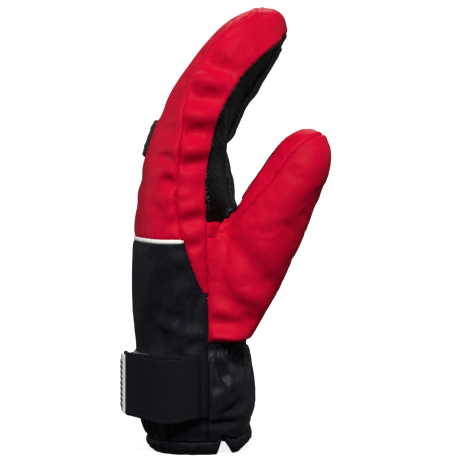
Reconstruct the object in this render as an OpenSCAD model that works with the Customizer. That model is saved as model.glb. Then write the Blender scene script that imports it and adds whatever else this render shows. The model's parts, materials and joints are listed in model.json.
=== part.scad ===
// Insulated ski mitten for a left hand, standing upright on its cuff.
// X points to the palm side, Y to the little finger, Z to the fingertips.
// Every layer is the same hand and thumb form, drawn in by its own depth below the outer cloth.

/* [Layers] */
// Thickness of the outer cloth
shell_t = 1.2; // [0.8:0.1:1.6]
// Thickness of the quilted insulation
insulation_t = 4.8; // [3:0.2:6]
// Thickness of the waterproof insert
insert_t = 0.5; // [0.3:0.1:0.8]
// Thickness of the brushed lining
lining_t = 1.6; // [1:0.1:2]

/* [Cuff] */
// Height of the stitched hem at the opening
hem_h = 8.5; // [7:0.5:10]
// Height at which the gathered wrist starts
wrist_z = 70; // [68:1:74]

/* [Strap] */
// Lowest edge of the wrist strap
strap_z = 24; // [20:1:28]
// Width of the wrist strap
strap_w = 40; // [30:1:42]
// Thickness of the wrist strap
strap_t = 2.5; // [2:0.1:3]

/* [Flexing] */
// Radius of the bend at the knuckles
finger_bend_r = 33; // [32:0.5:34]
// Radius of the bend at the thumb's joint
thumb_bend_r = 28; // [27.5:0.5:28.5]

/* [Hidden] */
ROOT_NODES = [
  "back_panel", "gusset_thumb_side", "gusset_little_finger_side", "palm_panel", "palm_overlay",
  "thumb_base_panel", "thumb_base_strip", "web_gusset", "cuff_back_panel", "cuff_palm_panel",
  "piping", "hem_back", "hem_palm", "hem_elastic", "wrist_elastic", "loop_patch",
  "strap_anchor", "insulation_back", "insulation_palm", "waterproof_insert", "lining",
  "cuff_interlining", "cuff_lining"
];
FINGER_NODES = [
  "back_panel_fingers", "gusset_fingertip", "palm_panel_fingers", "palm_overlay_fingers",
  "back_badge", "insulation_back_fingers", "insulation_palm_fingers",
  "waterproof_insert_fingers", "lining_fingers"
];
THUMB_NODES = [
  "thumb_panel", "thumb_strip", "thumb_palm_patch", "insulation_thumb",
  "waterproof_insert_thumb", "lining_thumb"
];
STRAP_NODES = ["strap_base", "strap_end", "hook_patch", "strap_label", "label_marks"];

red = [0.78, 0.05, 0.2];
black = [0.1, 0.1, 0.12];
leather_black = [0.08, 0.08, 0.08];
white = [0.95, 0.95, 0.95];
wadding = [0.9, 0.9, 0.86];
film = [0.75, 0.8, 0.85];
grey = [0.3, 0.3, 0.32];

seam_gap = 0.2;      // between two panels at a seam
layer_gap = 0.1;     // between two layers
flex_gap = 0.6;      // across the bend of a flexing part
far = 120;           // beyond the mitten on every side

// Depth of each layer's outer face below the outer cloth
insulation_d = shell_t + layer_gap;
insert_d = insulation_d + insulation_t + layer_gap;
lining_d = insert_d + insert_t + layer_gap;
cavity_d = lining_d + lining_t;

// Sections of the hand: centre x and z, lean towards the palm, half thickness, half width
HAND = [
  [0.3, -8, 0, 29, 45],
  [0.3, 0, 0, 31, 47.5],
  [2, 7, 0, 34, 51.5],
  [2.5, 19.5, 0, 36.4, 56],
  [2.5, 36.5, 0, 37.2, 57.5],
  [0.9, 53.5, 0, 36.8, 56],
  [-1.2, 66.5, 0, 34.8, 53],
  [-4.3, 92.5, 0, 34, 55],
  [-5.7, 122.5, 0, 34, 57],
  [-5, 151.5, 2, 31.6, 57.5],
  [-4.3, 178.5, 12, 27, 56.5],
  [2.2, 203.5, 23, 23.9, 54.5],
  [13.4, 225.5, 33, 22.8, 50.5],
  [27, 244.5, 40, 21.4, 44.5],
  [41.3, 259.5, 45, 20, 37.5],
  [55.3, 272, 47, 18, 31]
];
HAND_DOME = 13.2;      // row where the fingertip starts to close
HAND_STEP = 19;        // distance between the last rows

// Sections of the thumb: centre x, y and z, lean, half thickness, half width
THUMB = [
  [14, -33, 60.5, 18, 15, 19],
  [20, -34, 74.5, 20, 17.5, 20.5],
  [27, -35, 92.5, 22, 20, 21.5],
  [36, -36, 118.5, 26, 24.8, 22.5],
  [48.5, -39, 146.5, 28, 24.6, 21.8],
  [59.5, -41.5, 166.5, 29, 22.4, 20.5],
  [67.8, -43.5, 181.5, 30, 20.6, 19],
  [78.6, -45, 199, 31, 19, 17.5]
];
THUMB_DOME = 5.7;
THUMB_STEP = 20;

around_hand = 24;
around_thumb = 16;
hand_square = 2.5;     // 2 is an ellipse, more is boxier
thumb_square = 2.2;

// Bends: centre x and z of the hinge lines, which run along Y
knuckle = [-5, 171];
thumb_joint = [56.1, 160.5];

// A table's row at any place between its rows, on a smooth curve through them
function row_at(table, t) =
  let (last = len(table) - 1, i = min(floor(t), last - 1), f = t - i,
       p0 = table[max(i - 1, 0)], p1 = table[i], p2 = table[i + 1], p3 = table[min(i + 2, last)])
  p1 + 0.5 * f * (p2 - p0 + f * (2 * p0 - 5 * p1 + 4 * p2 - p3 + f * (3 * p1 - p0 - 3 * p2 + p3)));

function power(c, square) = sign(c) * pow(abs(c), 2 / square);

// One closed section of a padded tube
function ring(centre, lean, a, b, count, square) =
  [for (j = [0:count - 1])
    let (v = 360 * j / count, u = a * power(cos(v), square), w = b * power(sin(v), square))
    [centre[0] + u * cos(lean), centre[1] + w, centre[2] - u * sin(lean)]];

// Inner layers run out to the cloth below the wrist, where the cuff has no padding
cuff_share = 0.35;     // how much of the inner layers' depth is left in the cuff
function padded_share(z) = min(1, max(cuff_share, (z - wrist_z + 14) / 26));
function depth_at(depth, z) =
  depth <= insulation_d ? depth : insulation_d + (depth - insulation_d) * padded_share(z);

function dome_angles() = [20, 42, 62, 78, 86];

function hand_rings(depth) =
  let (end = len(HAND) - 1 - depth / HAND_STEP,
       body = [for (t = [0:HAND_DOME / 18:HAND_DOME + 0.01]) [t, 1]],
       tip = [for (q = dome_angles()) [HAND_DOME + (end - HAND_DOME) * sin(q), cos(q)]])
  [for (s = concat(body, tip))
    let (r = row_at(HAND, s[0]), d = depth_at(depth, r[1]))
    ring([r[0], 0, r[1]], r[2], (r[3] - d) * s[1], (r[4] - d) * s[1], around_hand, hand_square)];

function thumb_rings(depth) =
  let (end = len(THUMB) - 1 - depth / THUMB_STEP,
       body = [for (t = [0:THUMB_DOME / 8:THUMB_DOME + 0.01]) [t, 1]],
       tip = [for (q = dome_angles()) [THUMB_DOME + (end - THUMB_DOME) * sin(q), cos(q)]])
  [for (s = concat(body, tip))
    let (r = row_at(THUMB, s[0]))
    ring([r[0], r[1], r[2]], r[3], (r[4] - depth) * s[1], (r[5] - depth) * s[1],
         around_thumb, thumb_square)];

function mean(points) =
  let (ones = [for (p = points) 1])
  ones * points / len(points);

// A closed solid over rings of points, with a fan over each end
module loft(rings) {
  m = len(rings[0]);
  n = len(rings);
  points = concat([for (r = rings) each r],
                  [mean(rings[0]), mean(rings[n - 1])]);
  sides = [for (i = [0:n - 2], j = [0:m - 1])
    let (a = i * m + j, b = i * m + (j + 1) % m)
    each [[a, a + m, b + m], [a, b + m, b]]];
  foot = [for (j = [0:m - 1]) [j, (j + 1) % m, n * m]];
  top = [for (j = [0:m - 1]) [(n - 1) * m + (j + 1) % m, (n - 1) * m + j, n * m + 1]];
  polyhedron(points, concat(sides, foot, top));
}

module form(depth) {
  loft(hand_rings(depth));
  loft(thumb_rings(depth));
}

// The cloth or padding between two depths
module layer(outer, inner) {
  difference() {
    form(outer);
    form(inner);
  }
}

// A side view outline, carried through the mitten between two widths
module through(y0 = -far, y1 = far) {
  translate([0, y1, 0]) rotate([90, 0, 0]) linear_extrude(y1 - y0) children();
}

// Outlines in the side view, x then z
SIDE_SEAM_X = 9.3;           // upright seam on the two sides of the mitten
BACK_SEAM = [
  [-5.5, 131.5], [-9.5, 147.5], [-10.5, 158.5], [-9.5, 169.5], [-8, 187], [-7, 207],
  [-4.5, 220.5], [1.5, 233.5], [11, 248], [23.5, 259], [39.5, 271.5], [44, 284]
];
PALM_SEAM = [
  [66, 270.5], [54, 257.5], [44, 247.5], [34.5, 237.5], [26.5, 227.5], [21, 218],
  [16.5, 207.5], [14, 196.5], [11, 184], [9, 170.5], [8.5, 159], [SIDE_SEAM_X, 143.5]
];
// The gusset's foot, from the back seam down to the upright seam
GUSSET_FOOT = [[-2, 121], [2.5, 111], [8, 101], [SIDE_SEAM_X, 96]];
floor_z = -seam_gap / 2;     // so that a panel's edge lies at zero
PIPING_BACK = [-40, 133];    // piping at the back of the hand; it ends at the back seam
THUMB_FOOT = [14, 134];      // where the thumb's seam and edge start
THUMB_SEAM = [
  THUMB_FOOT, [23.5, 143], [33.5, 153.5], [42, 163], [49.5, 172], [59.5, 184.5],
  [68, 192.5], [77, 196], [90, 199]
];
THUMB_EDGE = [[14, 135], [19, 144.5], [24.5, 154.5], [27.5, 160.5], [34, 174.5], [60, 224.5], [90, 254.5]];
WEB_TOP = 143.5;             // top of the little gusset in the crotch of the thumb
THUMB_BACK_Y = -30;          // the thumb is black on the side that faces the palm
HAND_MIDDLE = [
  [-1, wrist_z - 20], [-1.2, wrist_z], [-4.3, 92.5], [-5.7, 122.5], [-5, 151.5], [-4.3, 178.5],
  [2.2, 203.5], [13.4, 225.5], [27, 244.5], [41.3, 259.5], [75, 290.5]
];

function flip(points) = [for (i = [len(points) - 1:-1:0]) points[i]];

module back_outline() {
  polygon(concat([[-far, PIPING_BACK[1]], PIPING_BACK], BACK_SEAM, [[44, 3 * far], [-far, 3 * far]]));
}

module gusset_outline() {
  polygon(concat(flip(GUSSET_FOOT), BACK_SEAM, PALM_SEAM));
}

module palm_outline() {
  polygon(concat(flip(PALM_SEAM), [[far, 270.5], [far, wrist_z], [SIDE_SEAM_X, wrist_z]]));
}

// The whole side of the mitten that the thumb's red panels cover
module thumb_side_outline() {
  polygon(concat([[SIDE_SEAM_X, WEB_TOP], [SIDE_SEAM_X, wrist_z], [far, wrist_z], [far, 254.5]],
                 flip(THUMB_EDGE), [[THUMB_FOOT[0], WEB_TOP]]));
}

module thumb_panel_outline() {
  polygon(concat([[SIDE_SEAM_X, wrist_z], [far, wrist_z], [far, 199]], flip(THUMB_SEAM),
                 [[SIDE_SEAM_X, THUMB_FOOT[1]]]));
}

module thumb_strip_outline() {
  polygon(concat(THUMB_SEAM, flip(THUMB_EDGE)));
}

module web_outline() {
  translate([SIDE_SEAM_X, THUMB_FOOT[1]]) square([THUMB_FOOT[0] - SIDE_SEAM_X, WEB_TOP - THUMB_FOOT[1]]);
}

module cuff_back_outline() {
  polygon(concat([[-far, hem_h], [SIDE_SEAM_X, hem_h]], flip(GUSSET_FOOT),
                 [BACK_SEAM[0], PIPING_BACK, [-far, PIPING_BACK[1]]]));
}

// The palm side of the cuff hangs in a lobe with a slanted hem, and a notch beside the back hem
NOTCH_X = 18.5;
LOBE_HEM = [[NOTCH_X, hem_h + 3.5], [22, hem_h + 0.5], [27, hem_h + 1.2], [40, 16], [far, 50]];

module cuff_palm_outline() {
  polygon(concat([[far, wrist_z], [SIDE_SEAM_X, wrist_z], [SIDE_SEAM_X, hem_h], [16, hem_h]], LOBE_HEM));
}

module hem_back_outline() {
  polygon([[-far, floor_z], [12, floor_z], [16, 2.5], [16.5, hem_h], [-far, hem_h]]);
}

module hem_palm_outline() {
  polygon(concat([[20.5, 6], [21.5, 2], [24, floor_z], [40, floor_z], [far, 20]],
                 flip([for (i = [1:4]) LOBE_HEM[i]])));
}

module piping_outline() {
  half = 1.3;
  polygon([[-far, PIPING_BACK[1] - half], PIPING_BACK - [0, half], BACK_SEAM[0] - [0, half],
           BACK_SEAM[0] + [0, half], PIPING_BACK + [0, half], [-far, PIPING_BACK[1] + half]]);
}

// Everything between two heights and two places in x
module band(z0, z1, x0 = -far, x1 = far) {
  translate([x0, z0]) square([x1 - x0, z1 - z0]);
}

module back_half() {
  polygon(concat([[-far, wrist_z - 20]], HAND_MIDDLE, [[75, 3 * far], [-far, 3 * far]]));
}

module palm_half() {
  polygon(concat([[far, wrist_z - 20]], HAND_MIDDLE, [[far, 296]]));
}

module fingers_outline(grow = 0) {
  offset(delta = grow) {
    translate(knuckle) circle(finger_bend_r, $fn = 48);
    polygon([[-far, knuckle[1]], [knuckle[0] + finger_bend_r, knuckle[1]], [38, 199.5], [60, 244.5],
             [far, 294.5], [-far, 400]]);
  }
}

module thumb_end_outline(grow = 0) {
  offset(delta = grow) {
    translate(thumb_joint) circle(thumb_bend_r, $fn = 48);
    translate(thumb_joint) rotate(-29) translate([1 - thumb_bend_r, 0]) square([80, 70]);
  }
}

// What stays with the palm when the fingers and the thumb bend
module palm_part() {
  resize([0, 0, 0]) difference() {
    children();
    through() fingers_outline(flex_gap);
    through(-far, 0) thumb_end_outline(flex_gap);
  }
}

module finger_part() {
  resize([0, 0, 0]) intersection() {
    children();
    through() fingers_outline();
  }
}

module thumb_part() {
  resize([0, 0, 0]) intersection() {
    children();
    through(-far, 0) thumb_end_outline();
  }
}

// One panel: the part of a layer inside an outline, less its half of each seam
module panel(outer, inner, y0 = -far, y1 = far) {
  intersection() {
    layer(outer, inner);
    through(y0, y1) offset(delta = -seam_gap / 2) children();
  }
}

// Outer cloth, with the palm side given room for the thumb
module cloth(y0 = -far, y1 = far) {
  panel(0, shell_t, y0, y1) children();
}

module palm_cloth() {
  difference() {
    cloth() palm_outline();
    through(-far, THUMB_BACK_Y + seam_gap) offset(delta = seam_gap / 2) thumb_side_outline();
  }
}

overlay_t = 0.8;             // reinforcing leather on the palm
overlay_y = [-22, 38];
OVERLAY_EDGE = [[60, 256.5], [47, 245.5], [36, 230.5], [27, 215.5], [20, 201.5], [15, 186.5]];
badge_t = 2.3;
insert_rim = 46;             // the waterproof insert ends here, inside the cuff
lining_rim = 56;
elastic_w = 11;

module back_panel() {
  color(red) palm_part() cloth() back_outline();
}

module back_panel_fingers() {
  color(red) finger_part() cloth() back_outline();
}

module gusset_thumb_side() {
  color(red) palm_part() cloth(-far, 0) gusset_outline();
}

module gusset_little_finger_side() {
  color(red) palm_part() cloth(0, far) gusset_outline();
}

module gusset_fingertip() {
  color(red) finger_part() cloth() gusset_outline();
}

module palm_panel() {
  color(leather_black) palm_part() palm_cloth();
}

module palm_panel_fingers() {
  color(leather_black) finger_part() palm_cloth();
}

module overlay() {
  panel(-overlay_t - layer_gap, -layer_gap, overlay_y[0], overlay_y[1]) children();
}

module palm_overlay() {
  color(leather_black) palm_part() overlay() band(wrist_z + 22, 200, 14, 34);
}

module palm_overlay_fingers() {
  color(leather_black) finger_part() overlay()
    polygon(concat([[14, 144.5], [60, 144.5], [90, 256.5]], OVERLAY_EDGE));
}

module thumb_base_panel() {
  color(red) palm_part() cloth(-far, THUMB_BACK_Y) thumb_panel_outline();
}

module thumb_base_strip() {
  color(red) palm_part() cloth(-far, THUMB_BACK_Y) thumb_strip_outline();
}

module web_gusset() {
  color(red) palm_part() cloth(-far, THUMB_BACK_Y) web_outline();
}

module thumb_panel() {
  color(red) thumb_part() cloth(-far, THUMB_BACK_Y) thumb_panel_outline();
}

module thumb_strip() {
  color(red) thumb_part() cloth(-far, THUMB_BACK_Y) thumb_strip_outline();
}

module thumb_palm_patch() {
  color(leather_black) thumb_part() cloth(THUMB_BACK_Y + seam_gap, far) band(54.5, 254.5, 20);
}

module cuff_back_panel() {
  color(black) palm_part() cloth() cuff_back_outline();
}

module cuff_palm_panel() {
  color(black) palm_part() cloth() cuff_palm_outline();
}

module piping() {
  color(white) palm_part() panel(-1.2, -layer_gap) piping_outline();
}

module hem_back() {
  color(black) palm_part() cloth() hem_back_outline();
}

module hem_palm() {
  color(black) palm_part() cloth() hem_palm_outline();
}

// Wadding and tapes lie between the outer cloth and the waterproof insert
module filling() {
  panel(insulation_d, insert_d - layer_gap) children();
}

module hem_elastic() {
  color(grey) palm_part() filling() band(1.5, hem_h - 1.5);
}

module wrist_elastic() {
  color(grey) palm_part() filling() band(wrist_z - elastic_w, wrist_z, -6);
}

module cuff_interlining() {
  color(wadding) palm_part() filling() band(hem_h, lining_rim);
}

module cuff_lining() {
  color(grey) palm_part() panel(lining_d, cavity_d) band(floor_z, lining_rim);
}

module insulation_back() {
  color(wadding) palm_part() filling() insulated() back_half();
}

module insulation_palm() {
  color(wadding) palm_part() filling() insulated() palm_half();
}

module insulation_back_fingers() {
  color(wadding) finger_part() filling() back_half();
}

module insulation_palm_fingers() {
  color(wadding) finger_part() filling() palm_half();
}

module insulation_thumb() {
  color(wadding) thumb_part() filling() band(54.5, 254.5, 20);
}

// The insulation starts above the gathered wrist
module insulated() {
  intersection() {
    children();
    band(wrist_z + 2, 3 * far);
  }
}

module insert() {
  panel(insert_d, lining_d - layer_gap) band(insert_rim, 3 * far);
}

module inner_lining() {
  panel(lining_d, cavity_d) band(lining_rim, 3 * far);
}

module waterproof_insert() {
  color(film) palm_part() insert();
}

module waterproof_insert_fingers() {
  color(film) finger_part() insert();
}

module waterproof_insert_thumb() {
  color(film) thumb_part() insert();
}

module lining() {
  color(grey) palm_part() inner_lining();
}

module lining_fingers() {
  color(grey) finger_part() inner_lining();
}

module lining_thumb() {
  color(grey) thumb_part() inner_lining();
}

module back_badge() {
  color(black) finger_part() panel(-badge_t, -layer_gap, -11, 11) band(182.5, 205.5, -far, 0);
}

// The wrist strap, seen from above: x then y
strap_seam = [3, -59.4];     // hinge line along the sewn end
strap_corner = [-41, -45];   // hinge line at the bend onto the back of the cuff
STRAP_SIDE = [strap_seam, [-9, -60.8], [-22, -58.6], [-33, -52.8], strap_corner];
STRAP_BACK = [strap_corner, [-42.4, -32], [-43.2, -14], [-42.6, 6], [-40.4, 25]];
hook_t = 2.3;
loop_t = 2.6;
label_t = 1.8;
clear = 0.35;                // around a hinge line

function curve(points, from, to) = [for (t = [from:0.25:to]) row_at(points, t)];

function beside(line, d) = [
  for (i = [0:len(line) - 1])
  let (v = line[min(i + 1, len(line) - 1)] - line[max(i - 1, 0)])
  line[i] + d * [v[1], -v[0]] / norm(v)
];

// A strip of webbing on edge, between two distances from its line
module strip(line, inner, outer, z0, z1) {
  translate([0, 0, z0]) linear_extrude(z1 - z0)
    polygon(concat(beside(line, inner), flip(beside(line, outer))));
}

module strap_hinge(at, r) {
  translate([at[0], at[1], strap_z]) cylinder(h = strap_w, r = r, $fn = 32);
}

module strap_base() {
  color(black) {
    strap_hinge(strap_seam, strap_t / 2);
    difference() {
      strip(curve(STRAP_SIDE, 0, 4), -strap_t / 2, strap_t / 2, strap_z, strap_z + strap_w);
      translate([strap_corner[0], strap_corner[1], 0]) cylinder(h = far, r = strap_t / 2 + clear, $fn = 32);
    }
  }
}

module strap_end() {
  color(black) {
    strap_hinge(strap_corner, strap_t / 2);
    strip(curve(STRAP_BACK, 0, 4), -strap_t / 2, strap_t / 2, strap_z, strap_z + strap_w);
  }
}

module hook_patch() {
  color(grey) strip(curve(STRAP_BACK, 0.75, 3.75), strap_t / 2 + 0.1, strap_t / 2 + hook_t,
                    strap_z + 4, strap_z + strap_w - 4);
}

module strap_label() {
  color(white) strip(curve(STRAP_BACK, 0.25, 2.5), -strap_t / 2 - label_t, -strap_t / 2 - 0.1,
                     strap_z + 1.5, strap_z + strap_w - 1.5);
}

module label_marks() {
  bars = 9;
  pitch = (strap_w - 9) / bars;
  color(black)
    for (i = [0:bars - 1])
      strip(curve(STRAP_BACK, 0.75, 2 + 0.25 * (i % 2)), -strap_t / 2 - label_t - 0.4,
            -strap_t / 2 - label_t - 0.02, strap_z + 4.5 + i * pitch, strap_z + 4.5 + (i + 0.55) * pitch);
}

module strap_anchor() {
  color(black) palm_part() panel(-2.2, -layer_gap, -far, 0) band(strap_z, strap_z + strap_w, 4.8, 8.8);
}

module loop_patch() {
  color(grey) palm_part() panel(-loop_t, -layer_gap, -34, 30)
    band(strap_z + 3, strap_z + strap_w - 3, -far, 0);
}

back_panel();
gusset_thumb_side();
gusset_little_finger_side();
palm_panel();
palm_overlay();
thumb_base_panel();
thumb_base_strip();
web_gusset();
cuff_back_panel();
cuff_palm_panel();
piping();
hem_back();
hem_palm();
hem_elastic();
wrist_elastic();
loop_patch();
strap_anchor();
insulation_back();
insulation_palm();
waterproof_insert();
lining();
cuff_interlining();
cuff_lining();
back_panel_fingers();
gusset_fingertip();
palm_panel_fingers();
palm_overlay_fingers();
back_badge();
insulation_back_fingers();
insulation_palm_fingers();
waterproof_insert_fingers();
lining_fingers();
thumb_panel();
thumb_strip();
thumb_palm_patch();
insulation_thumb();
waterproof_insert_thumb();
lining_thumb();
strap_base();
strap_end();
hook_patch();
strap_label();
label_marks();
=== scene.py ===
"""Ski mitten: padded cloth shell, leather palm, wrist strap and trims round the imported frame.

Lengths below are in millimetres and are turned into metres where a mesh is made. The shell starts as
the hand and thumb forms of the frame, drawn in a little, and cloth simulation swells it between the
seams. X points to the palm side, Y to the little finger and Z to the fingertips.
"""

import json
import math
import random
from contextlib import contextmanager

import bmesh
import bpy
import numpy as np
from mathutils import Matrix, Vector, noise
from mathutils.bvhtree import BVHTree
from mathutils.kdtree import KDTree


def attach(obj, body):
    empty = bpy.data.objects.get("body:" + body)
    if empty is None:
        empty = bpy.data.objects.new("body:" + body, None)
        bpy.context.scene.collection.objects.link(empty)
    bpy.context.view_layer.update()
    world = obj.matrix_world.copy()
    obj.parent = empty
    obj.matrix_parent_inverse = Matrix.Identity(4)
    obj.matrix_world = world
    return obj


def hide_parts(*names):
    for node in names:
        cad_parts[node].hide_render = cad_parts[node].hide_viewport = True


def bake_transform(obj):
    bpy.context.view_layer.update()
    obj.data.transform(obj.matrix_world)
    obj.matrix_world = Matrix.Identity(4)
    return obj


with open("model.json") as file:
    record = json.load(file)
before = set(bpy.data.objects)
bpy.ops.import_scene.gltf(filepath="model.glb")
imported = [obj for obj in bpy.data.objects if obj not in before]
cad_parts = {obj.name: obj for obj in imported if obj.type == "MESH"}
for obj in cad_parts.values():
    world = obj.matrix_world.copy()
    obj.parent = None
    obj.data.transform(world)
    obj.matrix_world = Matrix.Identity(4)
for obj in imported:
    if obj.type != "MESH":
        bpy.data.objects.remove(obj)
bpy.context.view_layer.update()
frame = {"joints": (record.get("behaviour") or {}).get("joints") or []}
MM = 0.001
random.seed(11)

# Sections of the hand: centre x and z, lean towards the palm, half thickness, half width
HAND = np.array([
    [0.3, -8, 0, 29, 45], [0.3, 0, 0, 31, 47.5], [2, 7, 0, 34, 51.5], [2.5, 19.5, 0, 36.4, 56],
    [2.5, 36.5, 0, 37.2, 57.5], [0.9, 53.5, 0, 36.8, 56], [-1.2, 66.5, 0, 34.8, 53],
    [-4.3, 92.5, 0, 34, 55], [-5.7, 122.5, 0, 34, 57], [-5, 151.5, 2, 31.6, 57.5],
    [-4.3, 178.5, 12, 27, 56.5], [2.2, 203.5, 23, 23.9, 54.5], [13.4, 225.5, 33, 22.8, 50.5],
    [27, 244.5, 40, 21.4, 44.5], [41.3, 259.5, 45, 20, 37.5], [55.3, 272, 47, 18, 31],
], float)
HAND_DOME, HAND_STEP, HAND_SQUARE = 13.2, 19, 2.5
# Sections of the thumb: centre x, y and z, lean, half thickness, half width
THUMB = np.array([
    [14, -33, 60.5, 18, 15, 19], [20, -34, 74.5, 20, 17.5, 20.5], [27, -35, 92.5, 22, 20, 21.5],
    [36, -36, 118.5, 26, 24.8, 22.5], [48.5, -39, 146.5, 28, 24.6, 21.8],
    [59.5, -41.5, 166.5, 29, 22.4, 20.5], [67.8, -43.5, 181.5, 30, 20.6, 19],
    [78.6, -45, 199, 31, 19, 17.5],
], float)
THUMB_DOME, THUMB_STEP, THUMB_SQUARE = 5.7, 20, 2.2
PUFF = 2.2            # how far the cloth starts inside its full form
VOXEL = 2.4
SIM_FRAMES = 20
SIM_CAP = 3.3         # the most that the simulation may move a point
CLOTH_SETTINGS = {"quality": 5, "mass": 0.2, "tension_stiffness": 18, "compression_stiffness": 12,
                  "shear_stiffness": 8, "bending_stiffness": 0.6, "use_pressure": True,
                  "uniform_pressure_force": 4, "shrink_min": -0.012}
SHELL_THICKNESS = 1.2
FAR = 100             # rays onto the shell start this far out

# Seams in the side view, x then z
SIDE_X = 9.3
WRIST_Z = 70
HEM_Z = 8.5
WEB_TOP = 143.5
WEB_TOP_X = 18.5      # the web gusset's far corners, at its top and its foot
WEB_FOOT_X, WEB_FOOT = 14, 134
BACK_SEAM = [(-5.5, 131.5), (-9.5, 147.5), (-10.5, 158.5), (-9.5, 169.5), (-8, 187), (-7, 207),
             (-4.5, 220.5), (1.5, 233.5), (11, 248), (23.5, 259), (39.5, 271.5), (44, 284)]
PALM_SEAM = [(66, 270.5), (54, 257.5), (44, 247.5), (34.5, 237.5), (26.5, 227.5), (21, 218),
             (16.5, 207.5), (14, 196.5), (11, 184), (9, 170.5), (8.5, 159), (SIDE_X, WEB_TOP)]
GUSSET_FOOT = [(-5.5, 131.5), (-2.2, 121), (2, 111), (6, 102.5), (SIDE_X, 96)]
PIPING_LINE = [(-100, 132.8), (-40, 132.4), (-20, 131.3), (-5.5, 131.5)]
THUMB_SEAM = [(WEB_FOOT_X, WEB_FOOT), (23.5, 143), (33.5, 153.5), (42, 163), (49.5, 172),
              (59.5, 184.5), (68, 192.5), (77, 196), (95, 200)]
THUMB_EDGE = [(14, 135), (19, 144.5), (24.5, 154.5), (27.5, 160.5), (34, 174.5), (60, 224.5), (90, 254.5)]
HEM_LINE = [(-100, HEM_Z), (14, HEM_Z), (22, HEM_Z + 0.5), (27, HEM_Z + 1.2), (40, 16), (100, 44)]
NOTCH_X = 18.5

# Hinge lines of the frame's joints
JOINT = {j["name"]: j for j in frame["joints"]}
THUMB_JOINT = Vector(JOINT["thumb_flex"]["pos_m"])
THUMB_AXIS = Vector((math.sin(math.radians(29)), 0, math.cos(math.radians(29))))

# Panels of the shell: name, frame nodes it stands for, material slot, body it goes with
PANELS = {
    "back": (["back_panel", "back_panel_fingers", "insulation_back", "insulation_back_fingers"],
             "red_cloth", "fingers"),
    "gusset": (["gusset_thumb_side", "gusset_little_finger_side", "gusset_fingertip"],
               "red_cloth", "fingers"),
    "palm": (["palm_panel", "palm_panel_fingers", "insulation_palm", "insulation_palm_fingers"],
             "palm_leather", "fingers"),
    "thumb_outer": (["thumb_base_panel", "thumb_panel", "insulation_thumb"], "red_cloth", "thumb"),
    "thumb_inner_strip": (["thumb_base_strip", "thumb_strip"], "red_cloth", "thumb"),
    "web": (["web_gusset"], "red_cloth", None),
    "thumb_palm_side": (["thumb_palm_patch"], "palm_leather", "thumb"),
    "cuff_back": (["cuff_back_panel", "cuff_interlining"], "black_cloth", None),
    "cuff_palm": (["cuff_palm_panel", "wrist_elastic"], "black_cloth", None),
    "hem_back_tube": (["hem_back", "hem_elastic"], "black_cloth", None),
    "hem_palm_tube": (["hem_palm"], "black_cloth", None),
}
PANEL_NAMES = list(PANELS)


# ---------------------------------------------------------------- curves and small tools

def row_at(table, t):
    """A table's row at any place between its rows, on a smooth curve through them."""
    last = len(table) - 1
    i = min(int(t), last - 1)
    f = t - i
    p0, p1, p2, p3 = (table[k] for k in (max(i - 1, 0), i, i + 1, min(i + 2, last)))
    return p1 + 0.5 * f * (p2 - p0 + f * (2 * p0 - 5 * p1 + 4 * p2 - p3 + f * (3 * p1 - p0 - 3 * p2 + p3)))


def smooth(points, per=3):
    """The points of a smooth curve through the given points."""
    table = np.array(points, float)
    steps = (len(table) - 1) * per
    return np.array([row_at(table, k / per) for k in range(steps)] + [table[-1]])


def clamp01(x):
    return np.clip(x, 0, 1)


def ease(x):
    x = clamp01(x)
    return x * x * (3 - 2 * x)


def bell(x, width):
    return np.exp(-(x / width) ** 2)


def inside(polygon, x, z):
    """Which of the points lie in a polygon of the side view."""
    result = np.zeros(len(x), bool)
    for (x0, z0), (x1, z1) in zip(polygon, np.roll(polygon, -1, axis=0)):
        if z0 != z1:
            crosses = (z0 > z) != (z1 > z)
            result ^= crosses & (x < (x1 - x0) * (z - z0) / (z1 - z0) + x0)
    return result


def in_scene(name, data):
    """A mesh, light or camera as an object of the scene."""
    obj = bpy.data.objects.new(name, data)
    bpy.context.scene.collection.objects.link(obj)
    return obj


def new_object(name, verts, faces):
    """An object from points in millimetres."""
    mesh = bpy.data.meshes.new(name)
    mesh.from_pydata([tuple(v) for v in np.asarray(verts, float) * MM], [], [tuple(f) for f in faces])
    mesh.validate()
    return in_scene(name, mesh)


def closed_object(name, verts, faces):
    """A smooth closed object with its faces turned outward."""
    obj = new_object(name, verts, faces)
    with editing(obj.data) as bm:
        bmesh.ops.recalc_face_normals(bm, faces=bm.faces)
    smooth_shade(obj)
    return obj


def ring_quads(rings, around, base=0):
    """Faces between neighbouring rings of points."""
    quads = []
    for i in range(rings - 1):
        low, high = base + i * around, base + (i + 1) * around
        quads += [(low + j, low + (j + 1) % around, high + (j + 1) % around, high + j)
                  for j in range(around)]
    return quads


def ring_faces(rings, around, base=0):
    """Faces of a closed bar: between its rings of points and over both ends."""
    last = base + (rings - 1) * around
    return ring_quads(rings, around, base) + [tuple(range(base, base + around))[::-1],
                                              tuple(range(last, last + around))]


def round_off(distance, radius):
    """0 to 1: the height of a rounded edge, by the distance in from it."""
    return math.sqrt(max(0.0, 1 - (1 - min(distance / radius, 1)) ** 2))


def points_of(mesh):
    co = np.empty(len(mesh.vertices) * 3)
    mesh.vertices.foreach_get("co", co)
    return co.reshape(-1, 3) / MM


def set_points(mesh, co):
    mesh.vertices.foreach_set("co", (co * MM).ravel())
    mesh.update()


def normals_of(mesh):
    no = np.empty(len(mesh.vertices) * 3, np.float32)
    mesh.vertex_normals.foreach_get("vector", no)
    return no.reshape(-1, 3).astype(float)


def edges_of(mesh):
    pairs = np.empty(len(mesh.edges) * 2, np.int32)
    mesh.edges.foreach_get("vertices", pairs)
    return pairs.reshape(-1, 2)


def apply_modifiers(obj):
    graph = bpy.context.evaluated_depsgraph_get()
    mesh = bpy.data.meshes.new_from_object(obj.evaluated_get(graph))
    obj.modifiers.clear()
    obj.data = mesh


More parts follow.
